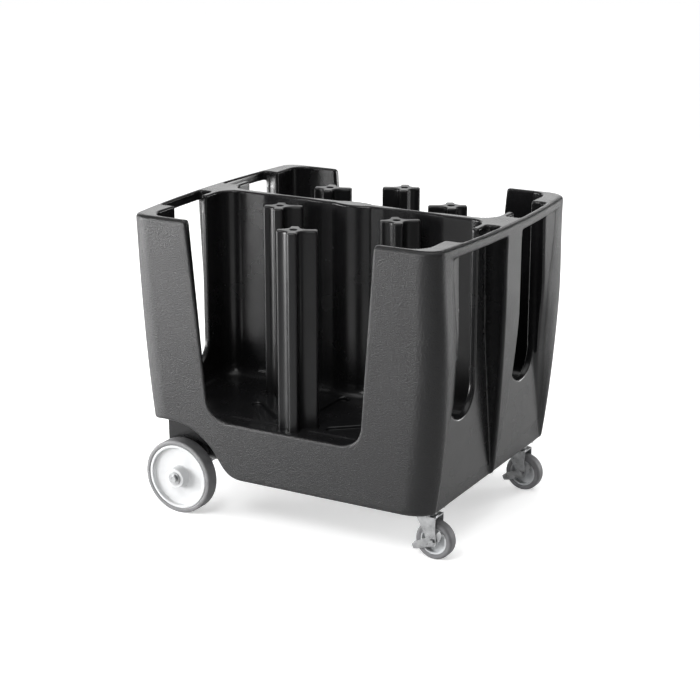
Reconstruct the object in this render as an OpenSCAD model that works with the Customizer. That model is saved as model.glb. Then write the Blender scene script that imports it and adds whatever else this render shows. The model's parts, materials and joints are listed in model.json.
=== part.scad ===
// Plate trolley: a double walled moulded body with two plate wells, six lift-out
// dividing towers, a through axle with two large wheels and two swivel casters.
// X runs along the trolley with the casters at +X, the front is at -Y, Z is up.
// The origin is on the floor, under the centre of the trolley.

/* [Body] */
// Length over the bowed ends at the rim
rim_len = 920; // [880:5:960]
// How much further the middle of an end reaches than its corners, at the rim
rim_bow = 28; // [10:2:40]
// Width over the front and rear at the rim
rim_width = 774; // [740:5:820]
// Height of the rim above the floor
rim_height = 810; // [780:5:850]
// Corner radius at the rim
rim_corner_r = 44; // [36:2:60]
// Rounding of the outer rim edge
rim_round = 5; // [3:1:7]
// Height of the underside above the floor
under_z = 136; // [134:1:142]
// How much shorter the body is at the underside
base_short = 109; // [100:1:120]
// How much further the middle of an end reaches than its corners, at the underside
base_bow = 3; // [1:1:6]
// How much narrower the body is at the underside
base_narrow = 41; // [30:1:48]
// Corner radius at the underside
base_corner_r = 60; // [50:2:70]
// How early the ends swell out on the way up
belly = 2.8; // [2:0.1:3.4]

/* [Wells] */
// Thickness of the end walls beside the wells
end_wall = 18; // [16:1:24]
// Height of the well floor above the floor of the room
well_floor = 290; // [280:2:310]
// Thickness of the front and rear walls beside the wells, at the rim
side_wall = 21; // [19:1:26]
// Thickness of the wall between the wells
centre_wall = 26; // [24:1:36]
// Corner radius of a well
well_corner_r = 48; // [40:2:60]
// Half length of the lobe in the middle of the centre wall
lobe_half = 53; // [40:1:65]
// How far the lobe stands out of the centre wall
lobe_rise = 12; // [6:1:16]
// Place of the plate hollows along the centre wall
hollow_x = 180; // [170:2:190]
// Half length of a plate hollow
hollow_half = 86; // [70:2:95]
// Depth of a plate hollow
hollow_depth = 6; // [2:0.5:8]

/* [Loading openings] */
// Width of a loading opening at the rim
opening_top_w = 532; // [500:4:560]
// Width of a loading opening where its lower corners start
opening_low_w = 448; // [420:4:480]
// Radius of the lower corners
opening_r = 55; // [40:5:70]

/* [Ends] */
// How far the outside of an end wall stands in from the middle of the rail
wall_in = 54; // [52:0.5:56]
// Half width of the centre strip at the rail
strip_half = 44; // [36:1:50]
// Height where the centre strip has its full width
strip_full_z = 560; // [500:10:620]
// Width of the groove beside the strip at its foot
groove_foot = 5; // [3:1:8]
// Extra width of the groove at the rim
groove_flare = 36; // [24:2:44]
// Depth of the groove at the rim
groove_deep = 15; // [8:1:17]
// How far the post jambs beside the windows stand in from the front and rear
jamb_in = 134; // [129:1:142]
// How far the upper post jamb stands out from the end wall
jamb_out = 19; // [10:1:22]
// How far the edge of the upper posts stands in from the front and rear
post_in = 110; // [97:1:115]
// The same just under the knee of the posts
post_low_in = 85; // [79:1:89]
// The same at the foot of the posts
post_foot_in = 65; // [61:1:72]
// Height of the knee, where the posts draw back
knee_z = 600; // [560:10:640]
// Height of the stretch where they do
knee_len = 120; // [80:5:140]
// Height where a jamb has come back to the end wall
jamb_low_z = 340; // [330:5:380]
// Width of the rail
rail_w = 17; // [15:1:21]
// Height of the rail
rail_h = 27; // [22:1:32]
// Where the hand gap starts beside the middle of a rail
gap_y = 56; // [50:1:70]
// How far the centre of a window stands in from the front and rear
window_in = 207; // [203:1:213]
// Width of a window
window_w = 144; // [130:2:146]
// Height of the lowest point of a window
window_z = 345; // [330:5:380]

/* [Towers] */
// Height of the tower tops above the floor of the room
tower_top = 800; // [760:5:806]
// Distance from a tower's axis to the end of its long arm
long_arm = 60; // [54:0.5:60]
// Distance from a tower's axis to the ends of its three short arms
short_arm = 42; // [40:0.5:46]
// Width of an arm
arm_w = 24; // [20:1:28]
// Rounding of the arm ends
arm_round = 6; // [4:1:8]
// Radius of the hollow between two arms
arm_hollow_r = 22; // [16:1:24]
// Depth of the sockets in the well floor
socket_deep = 12; // [8:1:16]
// Gap between a tower and its socket, all round
socket_gap = 1; // [0.6:0.2:2]
// Play under a tower's foot, for what the socket's floor is out of true
foot_play = 0.02; // [0.01:0.01:0.1]
// Diameter of the hole in a tower's top
tower_hole_d = 18; // [12:1:20]
// Depth of the hole in a tower's top
tower_hole_deep = 60; // [20:5:120]
// Width of the free floor slots
slot_w = 30; // [20:2:34]
// Depth of the free floor slots
slot_deep = 8; // [4:1:12]

/* [Large wheels] */
// Diameter over the tyre
wheel_d = 200; // [190:2:206]
// Width of the tyre
wheel_w = 40; // [34:1:44]
// How far the outside of a tyre stands in from the side of the underside
wheel_in = 26.5; // [20.5:1:30.5]
// How far the axle stands in from the end of the underside
axle_in = 60.5; // [50.5:1:70.5]
// Diameter of the tyre's seat on the hub
rim_d = 174; // [166:2:180]
// Diameter of the axle
axle_d = 16; // [14:1:18]
// Outer diameter of a wheel bush
bush_d = 22; // [20:1:26]
// Diameter of the hub boss
boss_d = 53; // [46:1:60]
// How far the boss stands out past the tyre
boss_out = 12; // [6:1:16]
// Radius of the wheel arches
arch_r = 167; // [160:1:175]
// Depth of a wheel arch, from the outside of the tyre inwards
arch_deep = 50; // [48:1:52]
// Width of an axle lug
lug_w = 26; // [20:1:30]
// Radius of an axle lug
lug_r = 24; // [18:1:28]

/* [Casters] */
// Diameter of a caster wheel
caster_d = 100; // [94:1:104]
// Width of the caster tread
caster_w = 32; // [28:1:34]
// Diameter of the core under the tread
core_d = 72; // [64:1:78]
// How far the swivel axes stand in from the end of the underside
swivel_in = 48.5; // [45.5:1:55.5]
// How far the swivel axes stand in from the side of the underside
swivel_side = 95.5; // [90.5:1:104.5]
// Distance from the swivel axis back to the wheel axis
trail = 28; // [24:1:32]
// Thickness of the top plate
plate_t = 2.5; // [2:0.5:4]
// Length and width of the top plate
plate_size = [88, 64];
// Spacing of the bolts in the top plate
bolt_gap = [68, 46];
// Diameter of the plate bolts
bolt_d = 8; // [6:1:10]
// Width across the flats of the bolt heads
bolt_flats = 13; // [10:1:15]
// Depth of the threaded inserts in the body
insert_deep = 24; // [16:1:30]
// Outside width of the fork
fork_w = 47; // [46:0.5:52]
// Thickness of the fork's steel
fork_t = 2.5; // [2:0.5:3]
// Height of the swivel, from the top of the fork crown to the top plate
swivel_h = 18.5; // [18:0.5:20]
// Diameter of the king pin
kingpin_d = 12; // [10:1:14]
// Diameter of the circle of swivel balls
ball_circle_d = 46; // [44:1:48]
// Diameter of a swivel ball
ball_d = 6; // [5:0.5:6]
// Number of swivel balls
ball_count = 18; // [12:1:20]
// Diameter of the caster wheel bolt
caster_axle_d = 8; // [6:1:9]
// Thickness of the brake pedal's steel
pedal_t = 2; // [1.5:0.5:2]
// Reach of the pedal's toe from the wheel axis
toe_reach = 60; // [57:1:64]

/* [Fits] */
// Running gap round the axles and the king pins, on the radius
run_gap = 0.06; // [0.03:0.01:0.09]
// Gap between faces that turn past each other
face_gap = 0.4; // [0.3:0.1:0.6]
// Gap round parts that are pushed together, on the radius
push_gap = 0.02; // [0.01:0.01:0.05]

/* [Hidden] */
$fn = 96;
lip = 1;
black = [0.09, 0.09, 0.1];
dark = [0.16, 0.16, 0.17];
light_grey = [0.86, 0.87, 0.87];
tyre_grey = [0.5, 0.51, 0.52];
zinc = [0.75, 0.76, 0.78];
brass = [0.78, 0.66, 0.36];

base_len = rim_len - base_short;
base_width = rim_width - base_narrow;
wall_x = rim_len / 2 - wall_in;
well_len = 2 * (wall_x - end_wall);
well_front = rim_width / 2 - side_wall;
well_back = centre_wall / 2;
strip_foot_z = under_z + 9;
jamb_y = rim_width / 2 - jamb_in;
post_y = rim_width / 2 - post_in;
post_low_y = rim_width / 2 - post_low_in;
post_foot_y = rim_width / 2 - post_foot_in;
window_y = rim_width / 2 - window_in;

// Towers as [x, y, direction of the long arm]: the middle one, left one and right one of a well
front_towers = [[-5, 68 - well_front, 25], [-178, -78, 25], [167, -80, 35]];
rear_towers = [[-2, well_front - 80, 205], [-180, 187, 20], [210, 142, 210]];
// Free slots in a well floor as [x, distance, x, distance] of their ends
free_slots = [[-180, 200, -90, 275], [180, 200, 90, 275], [0, 60, 0, 190]];

axle_z = wheel_d / 2;
axle_x = base_len / 2 - axle_in;
wheel_out = base_width / 2 - wheel_in;
arch_y = wheel_out - arch_deep;
swivel_x = base_len / 2 - swivel_in;
swivel_y = base_width / 2 - swivel_side;
socket_floor = well_floor - socket_deep;
washer_t = 2.5;
washer_d = 34;
lug_out = arch_y - 2;
inner_washer_y = lug_out + face_gap;
hub_start = inner_washer_y + washer_t + face_gap;
boss_end = wheel_out + boss_out;
outer_washer_y = boss_end + face_gap;
cap_start = outer_washer_y + washer_t + face_gap;
axle_end = cap_start + 5;
fork_inner = fork_w / 2 - fork_t;
hub_half = fork_inner - pedal_t - 2 * face_gap;
plate_z = under_z - plate_t;
crown_z = plate_z - swivel_h;
crown_t = fork_t + 0.5;
ball_z = (crown_z + plate_z) / 2 - 0.8;
race_gap = ball_d * 0.18;
pin_head_t = 4;
pin_head_r = kingpin_d / 2 + 5;
head_t = 5.3;
insert_d = bolt_d + 3;
axle_boss_r = 13;
leg_front = -17;
leg_back = trail + 9;

// Share of the way from the underside to the rim
function rise(z) = (z - under_z) / (rim_height - under_z);
function half_width(z) = (base_width + (rim_width - base_width) * rise(z)) / 2;
function bow(z) = base_bow + (rim_bow - base_bow) * rise(z);
function corner_radius(z) = base_corner_r + (rim_corner_r - base_corner_r) * rise(z);
function base_reach() = base_len / 2 - base_bow;
function rim_reach() = rim_len / 2 - rim_bow;
function corner_reach(z) = base_reach()
    + (rim_reach() - base_reach()) * (1 - pow(1 - min(1, rise(z)), belly));
// How far the skin of an end reaches at distance y from the middle
function end_reach(y, z) = corner_reach(z) + bow(z) * (1 - pow(y / half_width(z), 2));

// A quarter of the body's outline at height z, drawn in by inset
function quarter_outline(z, inset) = let (r = corner_radius(z), cy = half_width(z) - r)
    concat([for (i = [0:5]) [end_reach(cy * i / 6, z) - inset, cy * i / 6]],
        [for (a = [6:12:90]) [end_reach(cy, z) - r + (r - inset) * cos(a), cy + (r - inset) * sin(a)]]);
function flip(points, sx, sy) = [for (p = points) [sx * p[0], sy * p[1]]];
function reversed(points) = [for (i = [len(points) - 1:-1:0]) points[i]];
function outline(z, inset) = let (q = quarter_outline(z, inset))
    concat(q, reversed(flip(q, -1, 1)), flip(q, -1, -1), reversed(flip(q, 1, -1)));

module outline_slice(z, inset) {
    translate([0, 0, z])
        linear_extrude(0.01)
            polygon(outline(z, inset));
}

module body_block() {
    low = under_z + 3;
    high = rim_height - rim_round;
    shares = [0, 0.05, 0.1, 0.16, 0.24, 0.32, 0.39, 0.47, 0.57, 0.69, 0.84, 1];
    hull() {
        outline_slice(under_z, 2);
        for (t = shares) outline_slice(low + (high - low) * t, 0);
        outline_slice(rim_height - rim_round * 0.3, rim_round * 0.3);
        outline_slice(rim_height - 0.01, rim_round);
    }
}

// Solid through a list of sections that all have the same number of points
module loft(sections) {
    n = len(sections[0]);
    last = len(sections) - 1;
    points = [for (s = sections) each s];
    sides = [for (k = [0:last - 1], i = [0:n - 1])
        let (a = k * n + i, b = k * n + (i + 1) % n) each [[a, a + n, b], [b, a + n, b + n]]];
    polyhedron(points, concat([[for (i = [0:n - 1]) i]], sides, [[for (i = [n - 1:-1:0]) last * n + i]]));
}

// Plan of a plate well, with the lobe and the plate hollows on its back face
module well_plan() {
    lobe_r = (pow(lobe_half, 2) + pow(lobe_rise, 2)) / (2 * lobe_rise);
    hollow_r = (pow(hollow_half, 2) + pow(hollow_depth, 2)) / (2 * hollow_depth);
    l = well_len / 2;
    r = well_corner_r;
    difference() {
        union() {
            translate([-l + r, well_back]) square([2 * (l - r), well_front - well_back]);
            translate([-l, well_back + r]) square([2 * l, well_front - well_back - 2 * r]);
            for (x = [-l + r, l - r], y = [well_back + r, well_front - r])
                translate([x, y]) circle(r);
            for (x = [-hollow_x, hollow_x])
                intersection() {
                    translate([x, well_back - hollow_depth + hollow_r]) circle(hollow_r, $fn = 360);
                    translate([x - hollow_half - 1, well_back - hollow_depth - 1])
                        square([2 * hollow_half + 2, 2 * hollow_depth]);
                }
        }
        translate([0, well_back + lobe_rise - lobe_r]) circle(lobe_r);
    }
}

// Outline of a loading opening, seen from the front
function opening_side(a) = let (cx = opening_low_w / 2 - opening_r)
    [cx + opening_r * sin(a), well_floor + opening_r * (1 - cos(a))];
function opening_half() = concat(
    [for (a = [0:6:84]) opening_side(a)],
    [[opening_top_w / 2, rim_height], [opening_top_w / 2, rim_height + 20]]);

module loading_opening() {
    translate([0, rim_width / 2 + 20, 0])
        rotate([90, 0, 0])
            linear_extrude(rim_width / 2 + 20 - well_front + well_corner_r)
                polygon(concat(opening_half(), reversed(flip(opening_half(), -1, 1))));
}

// Form of the end recesses: edges of the centre strip, groove and post at height z
function strip_edge(z) = 3
    + (strip_half - 3) * (1 - pow(1 - straight(z, strip_foot_z, strip_full_z), 1.4));
function groove_edge(z) = strip_edge(z) + groove_foot + groove_flare * max(0, rise(z));
function groove_depth(z) = 0.5 + groove_deep * max(0, rise(z));
// Share of the way from height low to height high, eased at both ends
function eased(z, low, high) = let (t = max(0, min(1, (z - low) / (high - low)))) t * t * (3 - 2 * t);
function straight(z, low, high) = max(0, min(1, (z - low) / (high - low)));
function post_edge(z) = post_foot_y
    + (post_low_y - post_foot_y) * straight(z, strip_foot_z, knee_z - knee_len)
    + (post_y - post_low_y) * eased(z, knee_z - knee_len, knee_z);
function jamb_edge(z) = post_foot_y - 3
    + (jamb_y - post_foot_y + 3) * straight(z, strip_foot_z, jamb_low_z + 60);
function nose_x(z) = wall_x + 1 + (jamb_out - 1) * eased(z, jamb_low_z, knee_z);
function recess_section(z) = let (
        far = rim_len / 2 + 60,
        skin = max(end_reach(post_edge(z), z), nose_x(z) + 3),
        slope = (post_edge(z) - jamb_edge(z)) / (skin - nose_x(z)))
    [[far, strip_edge(z), z],
    [far, jamb_edge(z) + slope * (far - nose_x(z)), z],
    [nose_x(z), jamb_edge(z), z],
    [wall_x, jamb_edge(z), z],
    [wall_x, groove_edge(z), z],
    [wall_x - groove_depth(z) * 0.2, (groove_edge(z) + strip_edge(z)) / 2, z],
    [wall_x - groove_depth(z), strip_edge(z), z]];

module end_recess() {
    rail_z = rim_height - rail_h;
    steps = 13;
    heights = concat([under_z - 10],
        [for (i = [0:steps]) strip_foot_z + (knee_z - strip_foot_z) * i / steps],
        [(knee_z + rail_z) / 2, rail_z]);
    loft([for (z = heights) recess_section(z)]);
}

module rail_gap() {
    steps = 6;
    rail_side = [for (i = [0:steps]) let (y = gap_y + (jamb_y - gap_y) * i / steps)
        [end_reach(y, rim_height) - rail_w, y]];
    translate([0, 0, rim_height - rail_h - lip])
        linear_extrude(rail_h + 2 * lip)
            polygon(concat(rail_side, [[wall_x, jamb_y], [wall_x, gap_y]]));
}

module window_cut() {
    r = window_w / 2;
    start = well_len / 2 - 20;
    depth = wall_x + lip - start;
    translate([start, window_y, window_z + r])
        rotate([0, 90, 0])
            cylinder(r = r, h = depth);
    translate([start, window_y - r, window_z + r])
        cube([depth, window_w, rim_height - window_z]);
}

// The cuts of one quarter of the body, at +X and +Y
module quarter_cuts() {
    end_recess();
    rail_gap();
    window_cut();
}

module floor_slot(s) {
    length = norm([s[2] - s[0], s[3] - s[1]]);
    translate([s[0], s[1], well_floor - slot_deep])
        rotate([0, 0, atan2(s[3] - s[1], s[2] - s[0])])
            linear_extrude(slot_deep + lip) {
                translate([0, -slot_w / 2]) square([length, slot_w]);
                circle(slot_w / 2);
                translate([length, 0]) circle(slot_w / 2);
            }
}

module well() {
    translate([0, 0, well_floor])
        linear_extrude(rim_height)
            well_plan();
    loading_opening();
    for (s = free_slots) floor_slot(s);
}

module tower_socket(place) {
    translate([place[0], place[1], socket_floor])
        rotate(place[2])
            linear_extrude(socket_deep + lip)
                tower_plan(socket_gap);
}

module arch() {
    translate([-axle_x, arch_y, axle_z])
        rotate([-90, 0, 0])
            cylinder(r = arch_r, h = rim_width);
}

module axle_lug(y) {
    translate([-axle_x, y, axle_z])
        rotate([-90, 0, 0])
            cylinder(r = lug_r, h = lug_w);
    translate([-axle_x - lug_r, y, axle_z])
        cube([2 * lug_r, lug_w, under_z - axle_z + lip]);
}

function bolt_places() = [for (i = [-1, 1], j = [-1, 1]) [i * bolt_gap[0] / 2, j * bolt_gap[1] / 2]];

module body_shell() {
    color(black)
    difference() {
        union() {
            difference() {
                body_block();
                for (sy = [0, 1]) mirror([0, sy, 0]) well();
                for (place = concat(front_towers, rear_towers)) tower_socket(place);
                for (sy = [0, 1]) mirror([0, sy, 0]) arch();
                for (sx = [0, 1], sy = [0, 1])
                    mirror([sx, 0, 0]) mirror([0, sy, 0]) quarter_cuts();
            }
            for (y = [-lug_out, -lug_w / 2, lug_out - lug_w]) axle_lug(y);
        }
        translate([-axle_x, -rim_width / 2, axle_z])
            rotate([-90, 0, 0])
                cylinder(d = axle_d + 2 * push_gap, h = rim_width);
        for (sy = [-1, 1], p = bolt_places())
            translate([swivel_x + p[0], sy * swivel_y + p[1], under_z - lip])
                cylinder(d = insert_d + 2 * push_gap, h = insert_deep + lip);
    }
}

module caster_inserts() {
    color(brass)
    for (sy = [-1, 1], p = bolt_places())
        translate([swivel_x + p[0], sy * swivel_y + p[1], under_z])
            difference() {
                cylinder(d = insert_d, h = insert_deep - 1);
                translate([0, 0, -lip])
                    cylinder(d = bolt_d + 2 * push_gap, h = insert_deep + 2 * lip);
            }
}

// Cross section of a dividing tower with its long arm along X, made larger by grow all round
module tower_plan(grow) {
    hollow_r = min(arm_hollow_r, short_arm - arm_round - arm_w / 2);
    core = arm_w / 2 + hollow_r;
    arm_plan(long_arm + grow, grow);
    for (a = [90, 180, 270])
        rotate(a) arm_plan(short_arm + grow, grow);
    difference() {
        square([2 * core, 2 * core], center = true);
        for (i = [-1, 1], j = [-1, 1])
            translate([i * core, j * core]) circle(hollow_r - grow);
    }
}

module arm_plan(reach, grow) {
    half = arm_w / 2 + grow;
    translate([0, -half]) square([reach - arm_round, 2 * half]);
    translate([0, arm_round - half]) square([reach, 2 * (half - arm_round)]);
    for (j = [-1, 1])
        translate([reach - arm_round, j * (half - arm_round)]) circle(arm_round, $fn = 32);
}

module tower(place) {
    color(dark)
    translate([place[0], place[1], 0])
        rotate(place[2])
            difference() {
                translate([0, 0, socket_floor + foot_play])
                    linear_extrude(tower_top - socket_floor - foot_play)
                        tower_plan(0);
                translate([0, 0, tower_top - tower_hole_deep])
                    cylinder(d = tower_hole_d, h = tower_hole_deep + lip);
            }
}

// Puts a part that is drawn round the Y axis at the axle, on the front or the rear side
module on_axle(s) {
    mirror([0, s < 0 ? 1 : 0, 0])
        translate([-axle_x, 0, axle_z])
            rotate([-90, 0, 0])
                children();
}

module ring(d_out, d_in, h) {
    difference() {
        cylinder(d = d_out, h = h);
        translate([0, 0, -lip]) cylinder(d = d_in, h = h + 2 * lip);
    }
}

module wheel_axle() {
    color(zinc)
    translate([-axle_x, -axle_end, axle_z])
        rotate([-90, 0, 0])
            cylinder(d = axle_d, h = 2 * axle_end);
}

module tyre(s) {
    r = wheel_d / 2;
    inner = rim_d / 2;
    shoulder = 6;
    start = wheel_out - wheel_w;
    color(tyre_grey)
    on_axle(s)
        rotate_extrude()
            difference() {
                union() {
                    translate([inner, start + 2]) square([r - inner - shoulder, wheel_w - 4]);
                    translate([inner + 3, start]) square([r - inner - 3 - shoulder, wheel_w]);
                    translate([inner, start + shoulder]) square([r - inner, wheel_w - 2 * shoulder]);
                    for (y = [start + shoulder, wheel_out - shoulder])
                        translate([r - shoulder, y]) circle(shoulder);
                }
                translate([inner - 3, start + wheel_w / 2]) circle(6);
            }
}

// Half section of a large hub: bead seat, rim ring, dished disc and boss
module hub_section() {
    inner = rim_d / 2;
    start = wheel_out - wheel_w;
    mid = start + wheel_w / 2;
    boss = boss_d / 2;
    ring_w = 7;
    disc_t = 6;
    disc_y = wheel_out - 18;
    bore = bush_d / 2 + push_gap;
    translate([inner - ring_w, start + 2]) square([ring_w - push_gap, wheel_w - 3]);
    translate([boss - 2, disc_y]) square([inner - boss, disc_t]);
    translate([bore, hub_start]) square([boss - bore - 3, boss_end - hub_start]);
    translate([bore, hub_start + 3]) square([boss - bore, boss_end - hub_start - 6]);
    translate([boss - 3, boss_end - 3]) circle(3);
    translate([boss - 3, hub_start + 3]) circle(3);
    translate([inner - 3, mid]) circle(6 - push_gap);
}

module hub(s) {
    color(light_grey)
    on_axle(s)
        rotate_extrude()
            hub_section();
}

module hub_bush(s) {
    color(dark)
    on_axle(s)
        translate([0, 0, hub_start + 1])
            ring(bush_d, axle_d + 2 * run_gap, boss_end - hub_start - 2);
}

module axle_washer(s, y) {
    color(zinc)
    on_axle(s)
        translate([0, 0, y])
            ring(washer_d, axle_d + 2 * push_gap, washer_t);
}

module axle_cap(s) {
    color(zinc)
    on_axle(s)
        difference() {
            union() {
                translate([0, 0, cap_start]) cylinder(d = axle_d + 7, h = 2);
                translate([0, 0, cap_start]) cylinder(d = axle_d + 3, h = axle_end - cap_start + 2);
            }
            translate([0, 0, cap_start - lip])
                cylinder(d = axle_d + 2 * push_gap, h = axle_end - cap_start + lip);
        }
}

// Puts a part that is drawn round the swivel axis under the front or the rear side
module at_swivel(s) {
    translate([swivel_x, s * swivel_y, 0]) children();
}

// Puts a part that is drawn round the caster wheel's axis, with its middle at height 0
module at_caster_wheel(s) {
    at_swivel(s)
        translate([trail, 0, caster_d / 2])
            rotate([-90, 0, 0])
                children();
}

module ball_groove() {
    translate([0, 0, ball_z])
        rotate_extrude()
            translate([ball_circle_d / 2, 0])
                circle(d = ball_d + 0.3, $fn = 32);
}

// Top plate with the pressed cup that holds the upper race
module caster_plate(s) {
    cup_d = ball_circle_d + 2 * ball_d + 4;
    race_z = ball_z + race_gap;
    color(zinc)
    at_swivel(s)
        difference() {
            union() {
                translate([-plate_size[0] / 2, -plate_size[1] / 2, plate_z])
                    cube([plate_size[0], plate_size[1], plate_t]);
                translate([0, 0, race_z]) cylinder(d = cup_d, h = plate_z - race_z + lip);
                translate([0, 0, crown_z + 1.5]) ring(cup_d, cup_d - 4, plate_z - crown_z);
            }
            ball_groove();
            translate([0, 0, crown_z - lip])
                cylinder(d = kingpin_d + 2 * push_gap, h = plate_z + plate_t - crown_z + 2 * lip);
            translate([0, 0, plate_z + plate_t - pin_head_t])
                cylinder(r = pin_head_r + 0.2, h = pin_head_t + lip);
            for (p = bolt_places())
                translate([p[0], p[1], plate_z - lip])
                    cylinder(d = bolt_d + 1, h = plate_t + 2 * lip);
        }
}

module plate_bolts(s) {
    color(zinc)
    at_swivel(s)
        for (p = bolt_places())
            translate([p[0], p[1], plate_z - head_t]) {
                cylinder(d = bolt_flats / cos(30), h = head_t, $fn = 6);
                cylinder(d = bolt_d, h = head_t + plate_t + insert_deep - 6);
            }
}

module king_pin(s) {
    low = crown_z - crown_t - face_gap - pin_head_t;
    top = plate_z + plate_t - 0.2;
    color(zinc)
    at_swivel(s) {
        translate([0, 0, low]) cylinder(r = pin_head_r, h = pin_head_t);
        translate([0, 0, low]) cylinder(d = kingpin_d, h = top - low);
        translate([0, 0, top - pin_head_t + 0.2]) cylinder(r = pin_head_r, h = pin_head_t - 0.2);
    }
}

module swivel_balls(s) {
    color(zinc)
    at_swivel(s)
        for (i = [0:ball_count - 1])
            rotate([0, 0, i * 360 / ball_count])
                translate([ball_circle_d / 2, 0, ball_z])
                    sphere(d = ball_d, $fn = 32);
}

// Side view of a fork leg, with the swivel axis at 0
function leg_outline() = [[leg_front, crown_z - 1], [trail - axle_boss_r, caster_d / 2],
    [trail + axle_boss_r, caster_d / 2], [leg_back, caster_d / 2 + 24], [leg_back, crown_z - 1]];

module fork_leg(y) {
    translate([0, y, 0])
        rotate([90, 0, 0])
            linear_extrude(fork_t) {
                polygon(leg_outline());
                translate([trail, caster_d / 2]) circle(axle_boss_r);
            }
}

module caster_fork(s) {
    race_top = ball_z - race_gap;
    color(zinc)
    at_swivel(s)
        difference() {
            union() {
                fork_leg(fork_w / 2);
                fork_leg(-fork_w / 2 + fork_t);
                translate([0, 0, crown_z - crown_t]) cylinder(r = fork_w / 2 + 3, h = crown_t);
                translate([leg_front, -fork_w / 2, crown_z - crown_t])
                    cube([leg_back - leg_front, fork_w, crown_t]);
                translate([0, 0, crown_z - crown_t])
                    cylinder(d = ball_circle_d + 2 * ball_d - 1, h = race_top - crown_z + crown_t);
            }
            ball_groove();
            translate([0, 0, crown_z - crown_t - lip])
                cylinder(d = kingpin_d + 2 * run_gap, h = plate_z);
            translate([trail, fork_w, caster_d / 2])
                rotate([90, 0, 0])
                    cylinder(d = caster_axle_d + 2 * push_gap, h = 2 * fork_w);
        }
}

module caster_tread(s) {
    r = caster_d / 2;
    inner = core_d / 2;
    half = caster_w / 2;
    shoulder = 7;
    color(tyre_grey)
    at_caster_wheel(s)
        rotate_extrude() {
            translate([inner, -half]) square([r - inner - shoulder, caster_w]);
            translate([inner, -half + shoulder]) square([r - inner, caster_w - 2 * shoulder]);
            for (i = [-1, 1])
                translate([r - shoulder, i * (half - shoulder)]) circle(shoulder);
        }
}

module caster_core(s) {
    outer = core_d / 2 - push_gap;
    bore = caster_axle_d / 2 + 3 + push_gap;
    rim_t = 4;
    web_t = 8;
    color(light_grey)
    at_caster_wheel(s)
        rotate_extrude() {
            translate([outer - rim_t, -caster_w / 2 + 1]) square([rim_t, caster_w - 2]);
            translate([bore + 2, -web_t / 2]) square([outer - rim_t / 2 - bore - 2, web_t]);
            translate([bore, -hub_half]) square([6, 2 * hub_half]);
        }
}

module caster_bush(s) {
    color(brass)
    at_caster_wheel(s)
        translate([0, 0, -hub_half - face_gap / 2])
            ring(caster_axle_d + 6, caster_axle_d + 2 * run_gap, 2 * hub_half + face_gap);
}

module caster_bolt(s) {
    out = fork_w / 2;
    color(zinc)
    at_caster_wheel(s) {
        translate([0, 0, -out - head_t])
            cylinder(d = bolt_flats / cos(30), h = head_t, $fn = 6);
        translate([0, 0, -out - head_t]) cylinder(d = caster_axle_d, h = 2 * out + 2 * head_t + 4);
    }
}

module caster_nut(s) {
    color(zinc)
    at_caster_wheel(s)
        translate([0, 0, fork_w / 2])
            difference() {
                cylinder(d = bolt_flats / cos(30), h = head_t + 1, $fn = 6);
                translate([0, 0, -lip])
                    cylinder(d = caster_axle_d + 2 * push_gap, h = head_t + 3);
            }
}

// Side view of a pedal cheek round the wheel axis: boss, toe arm and heel lip
function toe_point(a, r) = [r * cos(a), r * sin(a)];
function cheek_outline() = [toe_point(196, toe_reach), toe_point(209, toe_reach),
    toe_point(215, toe_reach - 16), toe_point(270, axle_boss_r - 1), toe_point(10, axle_boss_r + 6),
    toe_point(40, 35), toe_point(56, 37), toe_point(110, axle_boss_r + 1), toe_point(186, toe_reach - 20)];

// The tread that a foot presses and the bent front of the toe
function toe_outline() = [toe_point(196, caster_d / 2 + 3), toe_point(196, toe_reach),
    toe_point(209, toe_reach), toe_point(209, toe_reach - 2), toe_point(198.5, toe_reach - 2),
    toe_point(198.5, caster_d / 2 + 3)];

module pedal_cheek(y) {
    translate([0, y, 0])
        rotate([90, 0, 0])
            linear_extrude(pedal_t) {
                polygon(cheek_outline());
                circle(axle_boss_r - 1);
            }
}

module brake_pedal(s) {
    out = fork_inner - face_gap;
    color(zinc)
    at_swivel(s)
        translate([trail, 0, caster_d / 2])
            difference() {
                union() {
                    pedal_cheek(out);
                    pedal_cheek(-out + pedal_t);
                    translate([0, out, 0])
                        rotate([90, 0, 0])
                            linear_extrude(2 * out)
                                polygon(toe_outline());
                }
                translate([0, fork_w, 0])
                    rotate([90, 0, 0])
                        cylinder(d = caster_axle_d + 2 * run_gap, h = 2 * fork_w);
            }
}

body_shell();
caster_inserts();
wheel_axle();
tower(front_towers[0]);  // front_tower_middle
tower(front_towers[1]);  // front_tower_left
tower(front_towers[2]);  // front_tower_right
tower(rear_towers[0]);  // rear_tower_middle
tower(rear_towers[1]);  // rear_tower_left
tower(rear_towers[2]);  // rear_tower_right
tyre(-1);  // front_tyre
tyre(1);  // rear_tyre
hub(-1);  // front_hub
hub(1);  // rear_hub
hub_bush(-1);  // front_hub_bush
hub_bush(1);  // rear_hub_bush
axle_washer(-1, inner_washer_y);  // front_inner_washer
axle_washer(1, inner_washer_y);  // rear_inner_washer
axle_washer(-1, outer_washer_y);  // front_outer_washer
axle_washer(1, outer_washer_y);  // rear_outer_washer
axle_cap(-1);  // front_axle_cap
axle_cap(1);  // rear_axle_cap
caster_plate(-1);  // front_caster_plate
caster_plate(1);  // rear_caster_plate
plate_bolts(-1);  // front_plate_bolts
plate_bolts(1);  // rear_plate_bolts
king_pin(-1);  // front_king_pin
king_pin(1);  // rear_king_pin
swivel_balls(-1);  // front_swivel_balls
swivel_balls(1);  // rear_swivel_balls
caster_fork(-1);  // front_caster_fork
caster_fork(1);  // rear_caster_fork
caster_tread(-1);  // front_caster_tread
caster_tread(1);  // rear_caster_tread
caster_core(-1);  // front_caster_core
caster_core(1);  // rear_caster_core
caster_bush(-1);  // front_caster_bush
caster_bush(1);  // rear_caster_bush
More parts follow.
